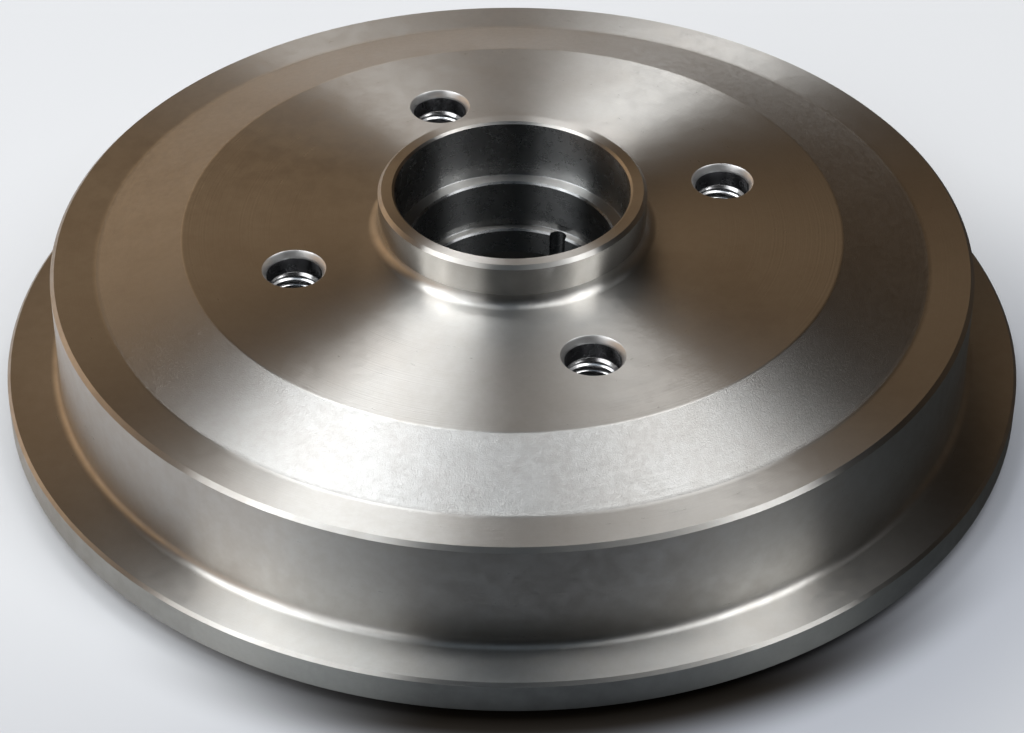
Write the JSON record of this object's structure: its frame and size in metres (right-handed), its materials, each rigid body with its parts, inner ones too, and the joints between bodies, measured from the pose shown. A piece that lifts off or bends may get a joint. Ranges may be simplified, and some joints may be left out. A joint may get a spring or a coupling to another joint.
{
  "type": "brake drum",
  "caption": "Round cast drum with a flange, a raised wheel face, a bored hub with bearing seats and tapped wheel bolt holes; brake shoes press outwards on its inside.",
  "frame": {"origin": "on the axle's line, in the plane of the open rim that the drum rests on", "axes": "+Z along the axle towards the wheel; +X lies 19.72 degrees clockwise of a wheel bolt hole"},
  "size_m": [0.2264, 0.2264, 0.0506],
  "materials": {
    "turned_iron": "turned, circular grain"
  },
  "bodies": {
    "root": {"brake_drum": "turned_iron"}
  },
  "joints": []
}
